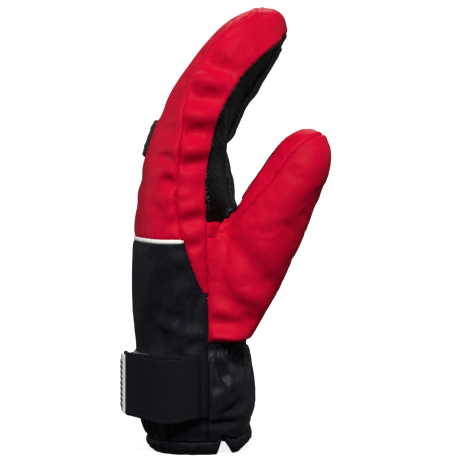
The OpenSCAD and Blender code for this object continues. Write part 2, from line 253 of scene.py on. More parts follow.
@contextmanager
def editing(mesh):
    """A mesh opened for editing and written back."""
    bm = bmesh.new()
    bm.from_mesh(mesh)
    yield bm
    bm.to_mesh(mesh)
    bm.free()


def split_along(bm, place, normal, geom=None, **clear):
    """Splits a mesh, or the given part of it, along a plane through a point in millimetres."""
    geom = geom or list(bm.faces) + list(bm.edges) + list(bm.verts)
    bmesh.ops.bisect_plane(bm, geom=geom, dist=1e-6, plane_co=Vector(place) * MM,
                           plane_no=Vector(normal).normalized(), **clear)


def smooth_shade(obj):
    obj.data.polygons.foreach_set("use_smooth", [True] * len(obj.data.polygons))


def relax(co, pairs, weight, rounds):
    """Moves each point towards the mean of its neighbours, by its weight."""
    count = np.bincount(pairs.ravel(), minlength=len(co))[:, None]
    for _ in range(rounds):
        total = np.zeros_like(co)
        np.add.at(total, pairs[:, 0], co[pairs[:, 1]])
        np.add.at(total, pairs[:, 1], co[pairs[:, 0]])
        co = co + (total / np.maximum(count, 1) - co) * weight[:, None]
    return co


# ---------------------------------------------------------------- the shell's form

def signed_power(c, square):
    return np.sign(c) * np.abs(c) ** (2 / square)


def loft(table, dome, step, square, inset, around=64, row_step=0.3):
    """Points and faces of a closed padded tube through a table's sections."""
    hand = table.shape[1] == 5
    end = len(table) - 1 - inset / step
    rows = [(t, 1) for t in np.arange(0, dome + 0.01, row_step)]
    rows += [(dome + (end - dome) * math.sin(q), math.cos(q)) for q in np.radians(np.arange(10, 90, 9))]
    angles = np.arange(around) * 2 * math.pi / around
    verts = []
    for t, share in rows:
        r = row_at(table, t)
        cx, cy, cz, lean, a, b = (r[0], 0, *r[1:]) if hand else r
        u = (a - inset) * share * signed_power(np.cos(angles), square)
        w = (b - inset) * share * signed_power(np.sin(angles), square)
        c, s = math.cos(math.radians(lean)), math.sin(math.radians(lean))
        verts += list(zip(cx + u * c, cy + w, cz - u * s))
    n, m = len(rows), around
    verts += [tuple(np.mean(verts[:m], axis=0)), tuple(np.mean(verts[-m:], axis=0))]
    faces = ring_quads(n, m)
    for j in range(m):
        k = (j + 1) % m
        faces.append((k, j, n * m))
        faces.append(((n - 1) * m + j, (n - 1) * m + k, n * m + 1))
    return np.array(verts), faces


def merged_form(name, inset, voxel):
    """Hand and thumb as one closed skin, with the crease between them softened."""
    hand = loft(HAND, HAND_DOME, HAND_STEP, HAND_SQUARE, inset)
    thumb = loft(THUMB, THUMB_DOME, THUMB_STEP, THUMB_SQUARE, inset)
    shift = len(hand[0])
    faces = hand[1] + [tuple(i + shift for i in f) for f in thumb[1]]
    obj = new_object(name, np.vstack([hand[0], thumb[0]]), faces)
    remesh = obj.modifiers.new("one_skin", "REMESH")
    remesh.mode = "VOXEL"
    remesh.voxel_size = voxel * MM
    apply_modifiers(obj)
    trees = [BVHTree.FromPolygons([Vector(v) for v in part[0]], part[1]) for part in (hand, thumb)]
    co = points_of(obj.data)
    reach = np.array([[tree.find_nearest(Vector(p))[3] for tree in trees] for p in co])
    near_both = ease(1 - reach.max(axis=1) / 13)
    pairs = edges_of(obj.data)
    co = relax(co, pairs, 0.5 * near_both, 40)
    co = relax(co, pairs, np.full(len(co), 0.35), 3)
    set_points(obj.data, co)
    return obj


THUMB_CUT = np.array([-0.236, 1, 0.216])      # normal of the plane between the thumb's red and black sides
THUMB_CUT_AT = np.array([56.1, -36.5, 160.5])


def behind_thumb_cut(x, y, z):
    """Distance behind the plane where the thumb's red cloth ends and its black palm side begins."""
    gap = (x - THUMB_CUT_AT[0]) * THUMB_CUT[0] + (y - THUMB_CUT_AT[1]) + (z - THUMB_CUT_AT[2]) * THUMB_CUT[2]
    return gap / np.linalg.norm(THUMB_CUT)


def along_thumb(x, z):
    """Distance from the thumb's hinge line along the thumb, in millimetres."""
    joint = THUMB_JOINT / MM
    return (x - joint.x) * THUMB_AXIS.x + (z - joint.z) * THUMB_AXIS.z


THUMB_ROOT = -17      # where the thumb's black side is sewn to the palm, along the thumb
CUT_REACH = 4         # faces this near to a cutting plane are split
SNAP = 2.2            # seam points this near to a seam line of the side view are laid on it

LINES = {
    "back": smooth(BACK_SEAM), "palm": smooth(PALM_SEAM), "foot": smooth(GUSSET_FOOT),
    "piping": np.array(PIPING_LINE, float), "thumb_seam": smooth(THUMB_SEAM),
    "thumb_edge": np.array(THUMB_EDGE, float), "hem": np.array(HEM_LINE, float),
    "side": np.array([(SIDE_X, WEB_TOP), (SIDE_X, HEM_Z)], float),
    "wrist": np.array([(SIDE_X, WRIST_Z), (100, WRIST_Z)], float),
    "web_top": np.array([(SIDE_X, WEB_TOP), (WEB_TOP_X, WEB_TOP)], float),
    "web_foot": np.array([(SIDE_X, WEB_FOOT), (WEB_FOOT_X, WEB_FOOT)], float),
    "notch": np.array([(NOTCH_X, -1), (NOTCH_X, HEM_Z + 0.3)], float),
}


def outlines():
    """The panels' outlines in the side view."""
    line = LINES
    foot_up = line["foot"][::-1]
    return {
        "back": np.vstack([line["piping"], line["back"][1:], [(44, 400), (-100, 400)]]),
        "gusset": np.vstack([foot_up, line["back"][1:], line["palm"]]),
        "palm": np.vstack([line["palm"][::-1], [(200, 270), (200, WRIST_Z), (SIDE_X, WRIST_Z)]]),
        "thumb_side": np.vstack([[(SIDE_X, WEB_TOP), (SIDE_X, WRIST_Z), (200, WRIST_Z), (200, 254)],
                                 line["thumb_edge"][:1:-1], [(WEB_TOP_X, WEB_TOP)]]),
        "thumb_outer": np.vstack([[(SIDE_X, WRIST_Z), (200, WRIST_Z), (200, 200)],
                                  line["thumb_seam"][::-1], [(SIDE_X, WEB_FOOT)]]),
        "web": np.array([(SIDE_X, WEB_FOOT), (WEB_FOOT_X, WEB_FOOT), (WEB_TOP_X, WEB_TOP),
                         (SIDE_X, WEB_TOP)], float),
    }


def panel_of(centres):
    """The panel of each face, from its middle."""
    x, y, z = centres.T
    outline = outlines()
    hem_z = np.interp(x, LINES["hem"][:, 0], LINES["hem"][:, 1])
    names = np.full(len(x), "cuff_back", dtype=object)
    names[inside(outline["back"], x, z)] = "back"
    names[inside(outline["gusset"], x, z)] = "gusset"
    names[inside(outline["palm"], x, z)] = "palm"
    red_side = inside(outline["thumb_side"], x, z) & (behind_thumb_cut(x, y, z) < 0)
    names[red_side] = "thumb_inner_strip"
    names[red_side & inside(outline["thumb_outer"], x, z)] = "thumb_outer"
    names[red_side & inside(outline["web"], x, z)] = "web"
    black_thumb = (names == "palm") & (y < 0) & (along_thumb(x, z) > THUMB_ROOT) & (x > 28)
    names[black_thumb & inside(outline["thumb_side"], x, z)] = "thumb_palm_side"
    names[(x > SIDE_X) & (z < WRIST_Z)] = "cuff_palm"
    names[(z < hem_z) & (x < NOTCH_X)] = "hem_back_tube"
    names[(z < hem_z) & (x > NOTCH_X)] = "hem_palm_tube"
    return names


def cut(bm, place, normal, near):
    """Splits the faces that near() picks along a plane."""
    faces = [f for f in bm.faces if near(f.calc_center_median() / MM)]
    geom = set(faces)
    for f in faces:
        geom.update(f.edges)
        geom.update(f.verts)
    if geom:
        split_along(bm, place, normal, list(geom))


def cut_line(bm, line, allowed):
    """Splits faces along a line of the side view, where allowed() says so."""
    for (x0, z0), (x1, z1) in zip(line[:-1], line[1:]):
        dx, dz = x1 - x0, z1 - z0
        length = math.hypot(dx, dz)

        def near(c):
            along = ((c.x - x0) * dx + (c.z - z0) * dz) / length
            off = abs((c.x - x0) * dz - (c.z - z0) * dx) / length
            return off < CUT_REACH and -3 < along < length + 3 and allowed(c)

        cut(bm, (x0, 0, z0), (dz, 0, -dx), near)


def cut_panels(obj):
    """Opens the cuff, splits the skin along every seam and gives each face its panel's number."""
    side = outlines()["thumb_side"]
    root = THUMB_JOINT / MM + THUMB_AXIS * THUMB_ROOT

    def thumb_half(c):
        return behind_thumb_cut(*c) < 3

    def on_thumb_cut(c):
        near = c.x > SIDE_X and c.z > WRIST_Z and abs(behind_thumb_cut(*c)) < CUT_REACH
        return near and bool(inside(side, np.array([c.x]), np.array([c.z]))[0])

    def on_thumb_root(c):
        near = abs(along_thumb(c.x, c.z) - THUMB_ROOT) < CUT_REACH
        return near and c.x > 26 and c.y < 0 and behind_thumb_cut(*c) > -1

    with editing(obj.data) as bm:
        split_along(bm, (0, 0, 0), (0, 0, 1), clear_inner=True)
        for name in ("back", "palm", "foot", "piping", "hem", "side", "wrist", "notch"):
            cut_line(bm, LINES[name], lambda c: True)
        for name in ("thumb_seam", "thumb_edge", "web_top", "web_foot"):
            cut_line(bm, LINES[name], thumb_half)
        cut(bm, THUMB_CUT_AT, THUMB_CUT, on_thumb_cut)
        cut(bm, root, THUMB_AXIS, on_thumb_root)
        bmesh.ops.remove_doubles(bm, verts=bm.verts, dist=0.4 * MM)
        bmesh.ops.dissolve_degenerate(bm, edges=bm.edges, dist=0.05 * MM)
        fins = [f for f in bm.faces if sum(len(e.link_faces) == 1 for e in f.edges) > 1]
        bmesh.ops.delete(bm, geom=fins, context="FACES")
    mesh = obj.data
    centres = np.empty(len(mesh.polygons) * 3)
    mesh.polygons.foreach_get("center", centres)
    names = panel_of(centres.reshape(-1, 3) / MM)
    mesh.polygons.foreach_set("material_index", tidy_numbers(mesh, [PANEL_NAMES.index(n) for n in names]))
    for _ in PANEL_NAMES:
        mesh.materials.append(None)
    even_seams(mesh)


def tidy_numbers(mesh, numbers):
    """Gives a stray face the panel that most of its neighbours belong to."""
    beside = {}
    for p in mesh.polygons:
        for key in p.edge_keys:
            beside.setdefault(key, []).append(p.index)
    for _ in range(3):
        fresh = list(numbers)
        for p in mesh.polygons:
            around = [numbers[q] for key in p.edge_keys for q in beside[key] if q != p.index]
            others = [n for n in around if n != numbers[p.index]]
            if around and len(others) > len(around) / 2:
                fresh[p.index] = max(set(others), key=others.count)
        numbers = fresh
    return numbers


def on_lines(x, z):
    """For each point the nearest place on any seam line of the side view, and its distance."""
    best = np.full(len(x), 1e9)
    place = np.stack([x, z])
    for line in LINES.values():
        for (x0, z0), (x1, z1) in zip(line[:-1], line[1:]):
            dx, dz = x1 - x0, z1 - z0
            t = clamp01(((x - x0) * dx + (z - z0) * dz) / (dx * dx + dz * dz))
            px, pz = x0 + t * dx, z0 + t * dz
            gap = np.hypot(x - px, z - pz)
            nearer = gap < best
            best = np.where(nearer, gap, best)
            place = np.where(nearer, np.stack([px, pz]), place)
    return place[0], place[1], best


def panels_beside(mesh):
    """How many panels meet at each point."""
    met = [set() for _ in mesh.vertices]
    for p in mesh.polygons:
        for v in p.vertices:
            met[v].add(p.material_index)
    return np.array([len(m) for m in met])


def even_seams(mesh):
    """Smooths the run of each seam and lays it on its line."""
    beside = {}
    for p in mesh.polygons:
        for key in p.edge_keys:
            beside.setdefault(key, []).append(p.material_index)
    seam = np.array([key for key, sides in beside.items() if len(sides) == 2 and sides[0] != sides[1]])
    co = points_of(mesh)
    free = panels_beside(mesh) == 2
    free &= np.bincount(seam.ravel(), minlength=len(co)) > 1
    for _ in range(3):
        co = relax(co, seam, np.where(free, 0.5, 0.0), 2)
        line_x, line_z, gap = on_lines(co[:, 0], co[:, 2])
        close = free & (gap < SNAP)
        co[close, 0], co[close, 2] = line_x[close], line_z[close]
    set_points(mesh, co)


def puff(obj):
    """Swells the cloth between its seams."""
    mesh = obj.data
    start = points_of(mesh)
    held = (panels_beside(mesh) > 1) | (start[:, 2] < 1)
    group = obj.vertex_groups.new(name="held")
    group.add([int(i) for i in np.nonzero(held)[0]], 1.0, "REPLACE")
    cloth = obj.modifiers.new("cloth", "CLOTH")
    for setting, value in CLOTH_SETTINGS.items():
        setattr(cloth.settings, setting, value)
    cloth.settings.vertex_group_mass = "held"
    cloth.settings.effector_weights.gravity = 0
    cloth.collision_settings.use_collision = False
    cloth.collision_settings.use_self_collision = False
    scene = bpy.context.scene
    scene.frame_end = SIM_FRAMES
    for f in range(1, SIM_FRAMES + 1):
        scene.frame_set(f)
    apply_modifiers(obj)
    moved = points_of(obj.data) - start
    length = np.linalg.norm(moved, axis=1)[:, None]
    set_points(obj.data, start + moved * SIM_CAP * np.tanh(length / SIM_CAP) / np.maximum(length, 1e-6))
    scene.frame_set(1)


def subdivide(obj, levels):
    modifier = obj.modifiers.new("subdivide", "SUBSURF")
    modifier.levels = modifier.render_levels = levels
    apply_modifiers(obj)


# ---------------------------------------------------------------- relief of seams, folds and gathers

# Soft folds in the cloth: side of the hand (-1 thumb side, 1 little finger side, 0 both), middle x and
# z, direction in degrees, half length, half width, depth (a fold that stands proud is below zero)
FOLDS = [
    (-1, 15, 238, -24, 15, 6, 1.7), (-1, 7, 219.5, -10, 13, 6, 1.8), (-1, 2, 197.5, -6, 12, 5.5, 1.8),
    (-1, 0, 178.5, 8, 10, 4.5, 1.9), (-1, -1, 144.5, 8, 11, 4, 1.6), (-1, 1, 166, -12, 8, 5, 0.5),
    (-1, 9, 229, -14, 12, 6, -0.9), (-1, 4, 208, -8, 12, 6, -0.9), (-1, 1, 188, 0, 11, 6, -0.9),
    (-1, -19, 184, -28, 7, 4.5, 0.8), (-1, -18, 174, 35, 6, 4, -0.7), (-1, -17, 216, 58, 16, 4, 0.9),
    (-1, -14, 168, -30, 8, 4, 1.0), (-1, -13, 158, 15, 8, 4, -0.7), (-1, -2, 128, 20, 7, 4, 1.0),
    (-1, 29, 90, -42, 17, 6, 1.9), (-1, 20, 73, -2, 14, 4, -1.9),
    (-1, 22, 82, -10, 13, 4, 0.8), (-1, 27, 129, -35, 14, 8, 0.8),
    (-1, 62, 160, 55, 26, 8, -0.8), (-1, 40, 112, -48, 22, 6, 1.2),
    (-1, 19, 20, 2, 10, 2.2, 1.6), (-1, 21, 42, 42, 14, 3.4, -0.8), (-1, 31, 36, 48, 10, 4.5, 1.1),
    (-1, 27, 55, -62, 12, 3, 1.3), (-1, 18, 50, -70, 9, 2.4, 1.0), (-1, 35, 58, -70, 10, 3.5, 1.2),
    (-1, 25, 28, 30, 9, 3, 1.4), (-1, 33, 20, 75, 8, 3, -1.0),
    (-1, -22, 82, 78, 16, 5, 0.9), (-1, -8, 86, 62, 14, 5, 1.2), (-1, -12, 78, -20, 12, 4, -0.9),
    (-1, -28, 100, 70, 18, 6, -0.7), (-1, -10, 110, 35, 14, 5, 0.6), (-1, 2, 88, 74, 12, 3.5, 1.0),
    (1, 18, 236, -28, 15, 6, 1.7), (1, 7, 214, -10, 13, 6, 1.8), (1, 0, 192, 4, 12, 5, 1.7),
    (1, 0, 166, -6, 12, 5, 1.3), (1, 4, 148, 12, 10, 5, 1.0), (1, 12, 120, 24, 16, 7, 1.5),
    (1, 20, 96, -28, 16, 6, 1.8), (1, 8, 82, 14, 15, 5, 1.6), (1, -18, 98, 66, 18, 6, 1.0),
    (1, -20, 56, 80, 20, 5, 0.9), (1, 8, 50, -66, 16, 5, 1.3), (1, 24, 42, 50, 14, 5, 1.6),
    (1, 12, 30, -30, 12, 4, 1.2), (1, -14, 24, 70, 12, 4, 1.0),
]
# Folds across the palm and the back: x side (1 palm, -1 back), middle y and z, then as above
ACROSS = [
    (1, 0, 179, 0, 30, 9, 0.8), (1, 4, 214, 0, 26, 5, 0.9), (1, 2, 186, 4, 28, 6, 0.7),
    (1, -4, 158, -10, 26, 5, 0.9),
    (1, 14, 132, 18, 22, 6, 1.5), (1, 18, 104, -14, 24, 6, 1.6), (1, 8, 86, 6, 30, 4, 1.2),
    (1, 10, 196, 60, 18, 4, -0.7), (1, -14, 44, 70, 16, 5, 1.4), (1, 10, 48, -75, 18, 5, 1.5),
    (1, 28, 40, 65, 16, 5, 1.3), (1, -2, 20, 10, 20, 4, 1.3),
    (-1, -8, 168, 4, 22, 5, 0.8), (-1, 10, 150, -8, 26, 5, 0.8), (-1, 6, 212, 4, 28, 6, 0.8),
    (-1, -12, 110, 66, 22, 6, 1.0), (-1, 16, 104, -70, 24, 6, 1.0), (-1, 2, 92, 80, 18, 5, 0.9),
    (-1, 30, 96, 62, 18, 5, 0.9),
]
# Gathers round the cuff: where, depth, seed, waves, middle height, half width
GATHERS = [
    ("wrist", 1.1, 3, 78, 61.5, 4.2), ("wrist", 0.9, 4, 36, 58, 6), ("wrist", 0.5, 5, 22, 51, 9),
    ("back", 1.3, 8, 40, 16, 6), ("hem", 0.5, 9, 30, 5, 5), ("back", 0.5, 12, 16, 84, 14),
]
FOLD_SCALE = 2.1
SEAM_DEPTH, SEAM_WIDTH = 1.3, 1.4
STITCH_DEPTH, STITCH_WIDTH = 0.8, 1.1
DEEPEST = -4.2        # no seam and fold together sink deeper than this


def fold_sum(folds, side, a, z, facing):
    """Lift from the folds of a list, on points with side value and coordinates a and z."""
    lift = np.zeros(len(z))
    for where, ca, cz, turn, half, width, depth in folds:
        c, s = math.cos(math.radians(turn)), math.sin(math.radians(turn))
        along = (a - ca) * c + (z - cz) * s
        off = (z - cz) * c - (a - ca) * s
        shape = bell(off, width) - 0.4 * bell(off - 1.9 * width, width)
        lift -= FOLD_SCALE * depth * shape * bell(along, half) * facing * (side * where > 0)
    return lift


def nearest(points, targets):
    tree = KDTree(len(targets))
    for i, p in enumerate(targets):
        tree.insert(p, i)
    tree.balance()
    return np.array([tree.find(p)[2] for p in points])


def noise_at(co, scale, seed):
    offset = Vector((seed * 17.3, seed * 5.1, seed * 9.7))
    return np.array([noise.noise(Vector(p) * scale + offset) for p in co])


def panels_at(mesh):
    """Lowest and highest panel number at each point."""
    count = len(mesh.vertices)
    low, high = np.full(count, 99), np.full(count, -1)
    for p in mesh.polygons:
        v = np.array(p.vertices)
        low[v] = np.minimum(low[v], p.material_index)
        high[v] = np.maximum(high[v], p.material_index)
    return low, high


def cuff_ripple(angle, seed, count):
    """Uneven waves round the cuff: their sum is about -1 to 1."""
    draw = random.Random(seed)
    phases = [draw.uniform(0, 6.28) for _ in range(8)][1::2]
    return sum(np.sin(angle * (count + k) + phase) for k, phase in zip((-5, 0, 4, 9), phases)) / 2.6


def hem_lift(x):
    """How far the rim rises: a notch between the two hem tubes and a slant under the palm lobe."""
    left = ease(1 - (NOTCH_X - x) / 4.5) * (x <= NOTCH_X)
    right = ease(1 - (x - NOTCH_X) / 6.5) * (x > NOTCH_X)
    slant = 0.5 * np.maximum(x - 27, 0)
    return 8.5 * (left + right) + slant


def relief(obj):
    """Sinks the seams and raises or sinks the folds, puckers and gathers."""
    mesh = obj.data
    co, no = points_of(mesh), normals_of(mesh)
    x, y, z = co.T
    low, high = panels_at(mesh)
    index = {n: i for i, n in enumerate(PANEL_NAMES)}
    on_seam = low != high
    hem_cut = on_seam & (high >= index["hem_back_tube"]) & (low < index["hem_back_tube"])
    seam = nearest(co, co[on_seam & ~hem_cut])
    hem = nearest(co, co[hem_cut])
    lift = -SEAM_DEPTH * bell(seam, SEAM_WIDTH) - STITCH_DEPTH * bell(hem, STITCH_WIDTH)
    quiet = ease(seam / 3.5)
    tip = ease((z - 235) / 25) + ease((along_thumb(x, z) - 18) / 15) * (y < -20)
    lift += 1.6 * bell(seam, 3) * tip + 1.3 * ease((z - 240) / 25)

    side_facing = ease(np.abs(no[:, 1]) * 1.5 - 0.25)
    front_facing = ease(np.abs(no[:, 0]) * 1.5 - 0.25)
    share = 0.35 + 0.65 * quiet
    lift += fold_sum(FOLDS, np.sign(no[:, 1]), x, z, side_facing) * share
    lift += 0.55 * fold_sum(ACROSS, np.sign(no[:, 0]), y, z, front_facing) * share * (x < 45)

    # small unevenness of the filling, more of it in the leather
    leather = (low == index["palm"]) | (low == index["thumb_palm_side"])
    lift += (0.45 * noise_at(co, 0.045, 1) + 0.22 * noise_at(co, 0.11, 2)) * quiet
    lift += 0.35 * noise_at(co, 0.2, 3) * quiet * leather

    # the wrist is gathered under the thumb panel, the hem by its elastic
    angle = np.arctan2(y, x)
    palm_side = ease((x - SIDE_X + 2) / 5)
    back_side = 1 - palm_side
    gathered = palm_side * (z < WRIST_Z - 0.5)
    lift -= 2.2 * bell(z - 65.5, 4) * gathered * (0.35 + 0.65 * side_facing)
    areas = {"wrist": gathered, "back": back_side, "hem": quiet}
    for area, depth, seed, count, height, width in GATHERS:
        lift += depth * cuff_ripple(angle, seed, count) * bell(z - height, width) * areas[area]
    lift += 1.0 * bell(z - 4, 3.5)                      # the hem tube stands out round its elastic
    co = co + no * np.maximum(lift, DEEPEST)[:, None]

    # the rim: curled in under the hem, raised into the notch
    x, y, z = co.T
    curl = 2.0 * ease(1 - z / 3) - 4.5 * clamp01(1 - z / 13) * ease((x - 14) / 14)
    curl += 0.8 * ease(1 - z / 20) * ease((-x - 8) / 14)
    out = np.stack([x - HAND[0, 0], y], axis=1)
    out /= np.maximum(np.linalg.norm(out, axis=1), 1e-6)[:, None]
    co[:, :2] -= out * curl[:, None]
    co[:, 2] = z + hem_lift(x) * clamp01(1 - z / 14)
    set_points(mesh, co)


def split_panels(obj):
    """One object for each panel."""
    mesh = obj.data
    co = points_of(mesh)
    made = {}
    for number, name in enumerate(PANEL_NAMES):
        faces = [tuple(p.vertices) for p in mesh.polygons if p.material_index == number]
        used = sorted({v for f in faces for v in f})
        place = {v: i for i, v in enumerate(used)}
        piece = new_object(name, co[used], [tuple(place[v] for v in f) for f in faces])
        made[name] = piece
    bpy.data.objects.remove(obj)
    return made


def thicken(obj, thickness, offset=-1):
    modifier = obj.modifiers.new("thickness", "SOLIDIFY")
    modifier.thickness = thickness * MM
    modifier.offset = offset
    apply_modifiers(obj)
    smooth_shade(obj)


# ---------------------------------------------------------------- riding on the frame

def bend_fingers(obj):
    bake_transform(obj)


def bend_thumb(obj):
    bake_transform(obj)


def finish_piece(obj, material, body, nodes=()):
    """Gives a piece its material, hides the frame nodes it stands for, and hangs it on its body's empty, or
    for a bending body only bakes its transform.
    """
    obj.data.materials.clear()
    obj.data.materials.append(material)
    if body == "fingers bend":
        bend_fingers(obj)
    elif body == "thumb bend":
        bend_thumb(obj)
    else:
        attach(obj, body)
    if nodes:
        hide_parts(*nodes)
    return obj


# ---------------------------------------------------------------- materials

def node_material(name):
    material = bpy.data.materials.new(name)
    material.use_nodes = True
    tree = material.node_tree
    shader = tree.nodes["Principled BSDF"]
    return material, tree, shader


def add(tree, kind, **values):
    """A node with its sockets or properties set; a node given as a value is linked."""
    node = tree.nodes.new(kind)
    for key, value in values.items():
        key = key.replace("_", " ") if key[0].isupper() else key
        if key in node.inputs:
            if isinstance(value, bpy.types.NodeSocket):
                tree.links.new(value, node.inputs[key])
            else:
                node.inputs[key].default_value = value
        else:
            setattr(node, key, value)
    return node


def linear(r, g, b):
    """A colour from 0-255 screen values to the linear values of a shader."""
    def one(c):
        c /= 255
        return c / 12.92 if c <= 0.04045 else ((c + 0.055) / 1.055) ** 2.4
    return (one(r), one(g), one(b), 1)


def thread_streaks(tree, place, axis, pitch):
    """Fine uneven streaks that run along an axis, one set of threads of a weave."""
    stretch = [0.16 if axis == name else 1.0 for name in "XYZ"]
    drawn = add(tree, "ShaderNodeMapping", Vector=place, Scale=stretch).outputs[0]
    streaks = add(tree, "ShaderNodeTexNoise", Vector=drawn, Scale=1 / (pitch * MM), Detail=1.5, Roughness=0.5)
    return add(tree, "ShaderNodeMapRange", Value=streaks.outputs["Fac"], From_Min=0.34,
               From_Max=0.66).outputs[0]


def colour_mix(tree, factor, first, second):
    return add(tree, "ShaderNodeMix", data_type="RGBA", Factor=factor, A=first, B=second).outputs["Result"]


def spread(tree, value, low, high):
    """The middle of a noise's range, stretched from low to high."""
    return add(tree, "ShaderNodeMapRange", Value=value, From_Min=0.3, From_Max=0.7, To_Min=low,
               To_Max=high).outputs[0]


def bump_pair(tree, soft, soft_strength, soft_depth, close, close_strength, close_depth, invert=False):
    """Fine relief on top of a softer one."""
    under = add(tree, "ShaderNodeBump", Height=soft, Strength=soft_strength, Distance=soft_depth)
    return add(tree, "ShaderNodeBump", invert=invert, Height=close, Strength=close_strength,
               Distance=close_depth, Normal=under.outputs[0]).outputs[0]


def cloth_material(name, dark, light, weave, pitch, turn=0.0, roughness=0.5, specular=0.5, sheen=0.0,
                   mottling=0.02, bump=0.25, crinkle=0.3, ribbed=False):
    """Cloth: two crossed sets of threads, a soft crinkle, and a slightly uneven colour."""
    material, tree, shader = node_material(name)
    place = add(tree, "ShaderNodeTexCoord").outputs["Object"]
    turned = add(tree, "ShaderNodeMapping", Vector=place, Rotation=(0, math.radians(turn), 0)).outputs[0]
    if ribbed:
        scale = 3.14 / (pitch * MM) / math.tau
        threads = [add(tree, "ShaderNodeTexWave", wave_type="BANDS", bands_direction=axis, Vector=turned,
                       Scale=scale, Distortion=1.5, Detail=1.0, Detail_Scale=2.0).outputs["Fac"]
                   for axis in weave]
    else:
        threads = [thread_streaks(tree, turned, axis, pitch) for axis in weave]
    height = threads[0]
    if len(threads) == 2:
        both = add(tree, "ShaderNodeMath", operation="MAXIMUM")
        tree.links.new(threads[0], both.inputs[0])
        tree.links.new(threads[1], both.inputs[1])
        height = both.outputs[0]
    fine = add(tree, "ShaderNodeTexNoise", Vector=place, Scale=160.0, Detail=4.0, Roughness=0.6)
    broad = add(tree, "ShaderNodeTexNoise", Vector=place, Scale=24.0, Detail=3.0, Roughness=0.55)
    value = spread(tree, broad.outputs["Fac"], 1 - mottling * 5, 1 + mottling * 5)
    tint = add(tree, "ShaderNodeHueSaturation", Color=colour_mix(tree, height, dark, light), Value=value)
    rough = spread(tree, fine.outputs["Fac"], roughness - 0.05, roughness + 0.07)
    relief_normal = bump_pair(tree, broad.outputs["Fac"], crinkle, 0.0015, height, bump, 0.0003)
    tree.links.new(tint.outputs[0], shader.inputs["Base Color"])
    tree.links.new(rough, shader.inputs["Roughness"])
    tree.links.new(relief_normal, shader.inputs["Normal"])
    shader.inputs["Specular IOR Level"].default_value = specular
    shader.inputs["Sheen Weight"].default_value = sheen
    shader.inputs["Sheen Roughness"].default_value = 0.45
    return material


def leather_material(name, dark, light, grain, roughness):
    """Grained synthetic leather: pebbles with creases between them."""
    material, tree, shader = node_material(name)
    place = add(tree, "ShaderNodeTexCoord").outputs["Object"]
    pebble = add(tree, "ShaderNodeTexVoronoi", Vector=place, Scale=grain, feature="SMOOTH_F1")
    crease = add(tree, "ShaderNodeTexNoise", Vector=place, Scale=90.0, Detail=6.0, Roughness=0.65,
                 Distortion=0.6).outputs["Fac"]
    rough = spread(tree, crease, roughness - 0.08, roughness + 0.12)
    relief_normal = bump_pair(tree, crease, 0.6, 0.0016, pebble.outputs["Distance"], 0.9, 0.0008, invert=True)
    tree.links.new(colour_mix(tree, crease, dark, light), shader.inputs["Base Color"])
    tree.links.new(rough, shader.inputs["Roughness"])
    tree.links.new(relief_normal, shader.inputs["Normal"])
    shader.inputs["Specular IOR Level"].default_value = 0.12
    return material


def moulded_material(name, colour, worn, roughness, bump=0.15):
    """Rubber or plastic with a fine texture, a little paler where it is worn."""
    material, tree, shader = node_material(name)
    place = add(tree, "ShaderNodeTexCoord").outputs["Object"]
    speckle = add(tree, "ShaderNodeTexNoise", Vector=place, Scale=900.0, Detail=3.0)
    wear = add(tree, "ShaderNodeTexNoise", Vector=place, Scale=120.0, Detail=5.0, Roughness=0.7)
    much = add(tree, "ShaderNodeMapRange", Value=wear.outputs["Fac"], From_Min=0.55, From_Max=0.75)
    rough = spread(tree, wear.outputs["Fac"], roughness - 0.06, roughness + 0.08)
    fine = add(tree, "ShaderNodeBump", Height=speckle.outputs["Fac"], Strength=bump, Distance=0.0003)
    tree.links.new(colour_mix(tree, much.outputs[0], colour, worn), shader.inputs["Base Color"])
    tree.links.new(rough, shader.inputs["Roughness"])
    tree.links.new(fine.outputs[0], shader.inputs["Normal"])
    return material


# Cloths: dark and light thread colour on the screen, thread directions, pitch in mm, then the look
CLOTHS = {
    "red_cloth": ((190, 3, 40), (209, 6, 50), "XZ", 0.6,
                  {"turn": 38, "specular": 0.04, "bump": 0.2, "crinkle": 0.22, "mottling": 0.012}),
    "black_cloth": ((12, 12, 17), (27, 27, 36), "XZ", 0.8,
                    {"turn": 30, "roughness": 0.48, "specular": 0.06, "bump": 0.3, "crinkle": 0.45,
                     "mottling": 0.03}),
    "gathered_cloth": ((12, 12, 17), (27, 27, 36), "XZ", 0.8,
                       {"roughness": 0.4, "specular": 0.1, "bump": 0.35, "crinkle": 0.45, "mottling": 0.03}),
    "webbing": ((12, 12, 15), (26, 26, 32), "Z", 1.3,
                {"roughness": 0.62, "specular": 0.06, "ribbed": True, "bump": 0.5, "crinkle": 0.15}),
    "piping": ((226, 226, 224), (250, 250, 248), "XZ", 0.6,
               {"roughness": 0.6, "bump": 0.4, "crinkle": 0.2, "mottling": 0.01}),
    "hook_and_loop": ((14, 14, 16), (34, 34, 38), "YZ", 1.1,
                      {"roughness": 0.85, "sheen": 0.4, "bump": 1.0, "crinkle": 0.6}),
    "lining": ((26, 26, 29), (52, 52, 57), "XZ", 1.6,
               {"roughness": 0.95, "sheen": 0.5, "bump": 0.8, "crinkle": 0.9, "mottling": 0.05}),
}
# Leathers and moulded parts: two colours on the screen, then grain and roughness or roughness and bump
LEATHERS = {
    "palm_leather": ((4, 4, 4), (14, 14, 14), 800.0, 0.36),
    "overlay_leather": ((5, 6, 6), (20, 21, 21), 520.0, 0.42),
}
MOULDED = {
    "label_rubber": ((235, 235, 232), (214, 214, 210), 0.5),
    "mark_black": ((24, 24, 26), (44, 44, 46), 0.5),
    "badge_rubber": ((12, 12, 14), (26, 26, 28), 0.5, 0.4),
    "thread_black": ((12, 12, 15), (20, 20, 24), 0.7),
    "thread_grey": ((44, 45, 46), (62, 63, 64), 0.7),
}


